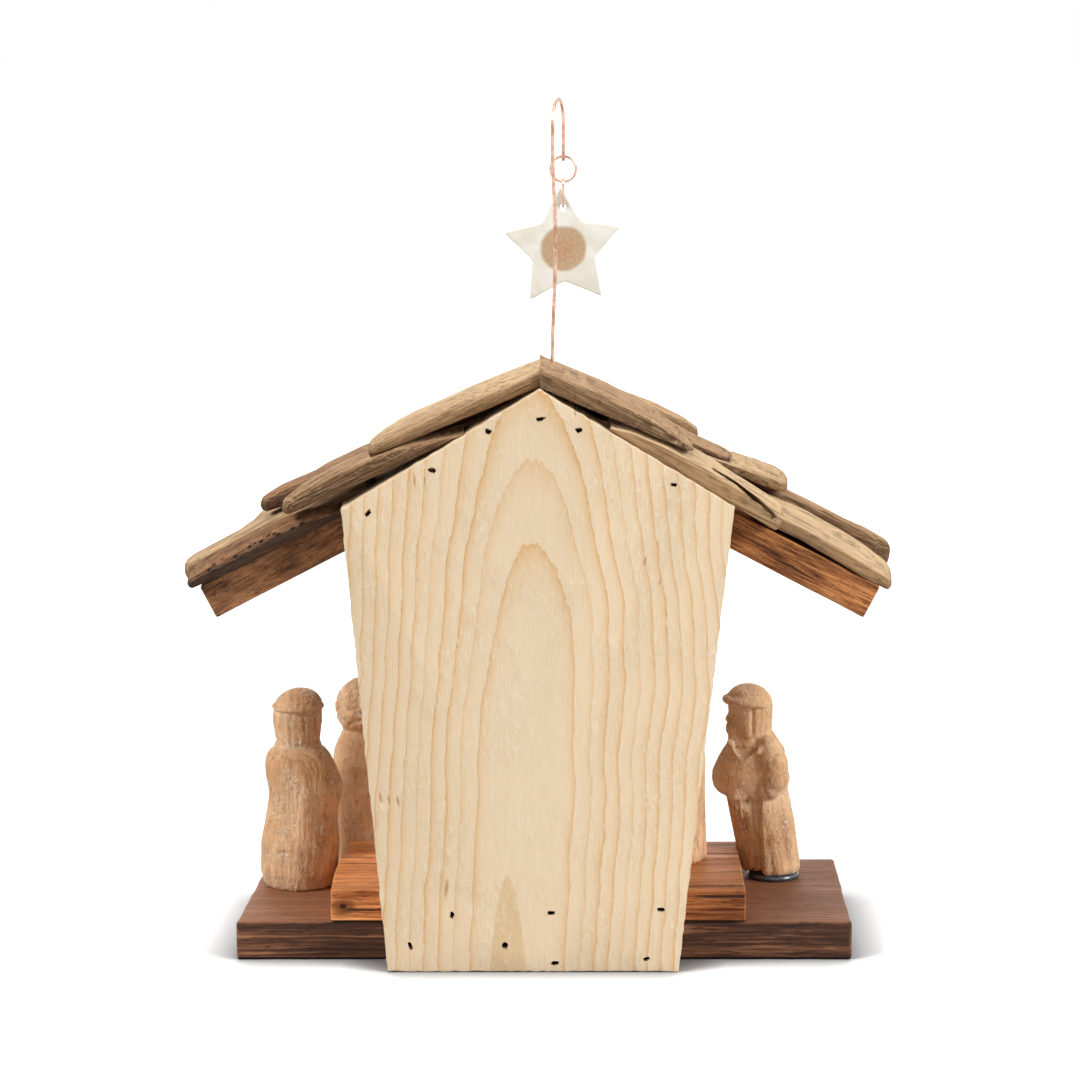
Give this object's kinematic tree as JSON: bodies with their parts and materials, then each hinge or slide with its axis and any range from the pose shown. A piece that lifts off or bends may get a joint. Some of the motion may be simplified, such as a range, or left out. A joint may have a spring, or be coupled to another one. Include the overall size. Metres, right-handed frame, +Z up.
{
  "type": "nativity stable",
  "caption": "Small wooden nativity stable: tapered gabled back panel, driftwood slat roof, stepped base with carved stone figures, and a star hung from a copper wire.",
  "frame": {"origin": "on the underside of the base board, at mid-depth of the base, on the stable's centre plane", "axes": "+Z up, -Y towards the open front, +X to the left of someone who stands behind the stable"},
  "size_m": [0.1735, 0.073, 0.2102],
  "materials": {
    "walnut": "oiled dark wood, worn edges",
    "red_board": "oiled red-brown wood with long grain",
    "pine": "raw rough-sawn pine with arched grain",
    "driftwood": "weathered, worn and grooved",
    "copper": "drawn copper wire",
    "shell": "satin, slightly translucent",
    "star_boss": "matt brown",
    "dark_disc": "dark and glossy",
    "steel": "dull wire brads",
    "carved_stone": "tan stone with chisel marks and white residue"
  },
  "bodies": {
    "stable": {"back_panel": "pine", "base_board": "walnut", "figure_cap": "carved_stone", "figure_cloak": "carved_stone", "figure_hood": "carved_stone", "figure_mantle": "carved_stone", "figure_veil": "carved_stone", "infant_manger": "carved_stone", "mantle_disc": "dark_disc", "panel_brads": "steel", "roof_board_left": "red_board", "roof_board_right": "red_board", "slat_left_eave_1": "driftwood", "slat_left_eave_2": "driftwood", "slat_left_eave_3": "driftwood", "slat_left_eave_4": "driftwood", "slat_left_middle_1": "driftwood", "slat_left_middle_2": "driftwood", "slat_left_middle_3": "driftwood", "slat_left_middle_4": "driftwood", "slat_left_ridge_1": "driftwood", "slat_left_ridge_2": "driftwood", "slat_left_ridge_3": "driftwood", "slat_left_ridge_4": "driftwood", "slat_right_eave_1": "driftwood", "slat_right_eave_2": "driftwood", "slat_right_eave_3": "driftwood", "slat_right_eave_4": "driftwood", "slat_right_middle_1": "driftwood", "slat_right_middle_2": "driftwood", "slat_right_middle_3": "driftwood", "slat_right_middle_4": "driftwood", "slat_right_ridge_1": "driftwood", "slat_right_ridge_2": "driftwood", "slat_right_ridge_3": "driftwood", "slat_right_ridge_4": "driftwood", "star_wire": "copper", "step_board": "red_board"},
    "ring": {"star_ring": "copper"},
    "bail": {"star_bail": "copper"},
    "star": {"star": "shell", "star_disc": "star_boss"}
  },
  "joints": [
    {"name": "ring_swing", "type": "hinge", "parent": "stable", "child": "ring", "pos_m": [-0.0056, 0.0135, 0.19547], "axis": [1, 0, 0], "range_deg": [-35, 14]},
    {"name": "bail_swing", "type": "hinge", "parent": "ring", "child": "bail", "pos_m": [-0.0056, 0.0135, 0.19002], "axis": [0, 1, 0], "range_deg": [-35, 35]},
    {"name": "star_swing", "type": "hinge", "parent": "bail", "child": "star", "pos_m": [-0.0056, 0.0135, 0.18332], "axis": [0, 1, 0], "range_deg": [-35, 35]}
  ]
}
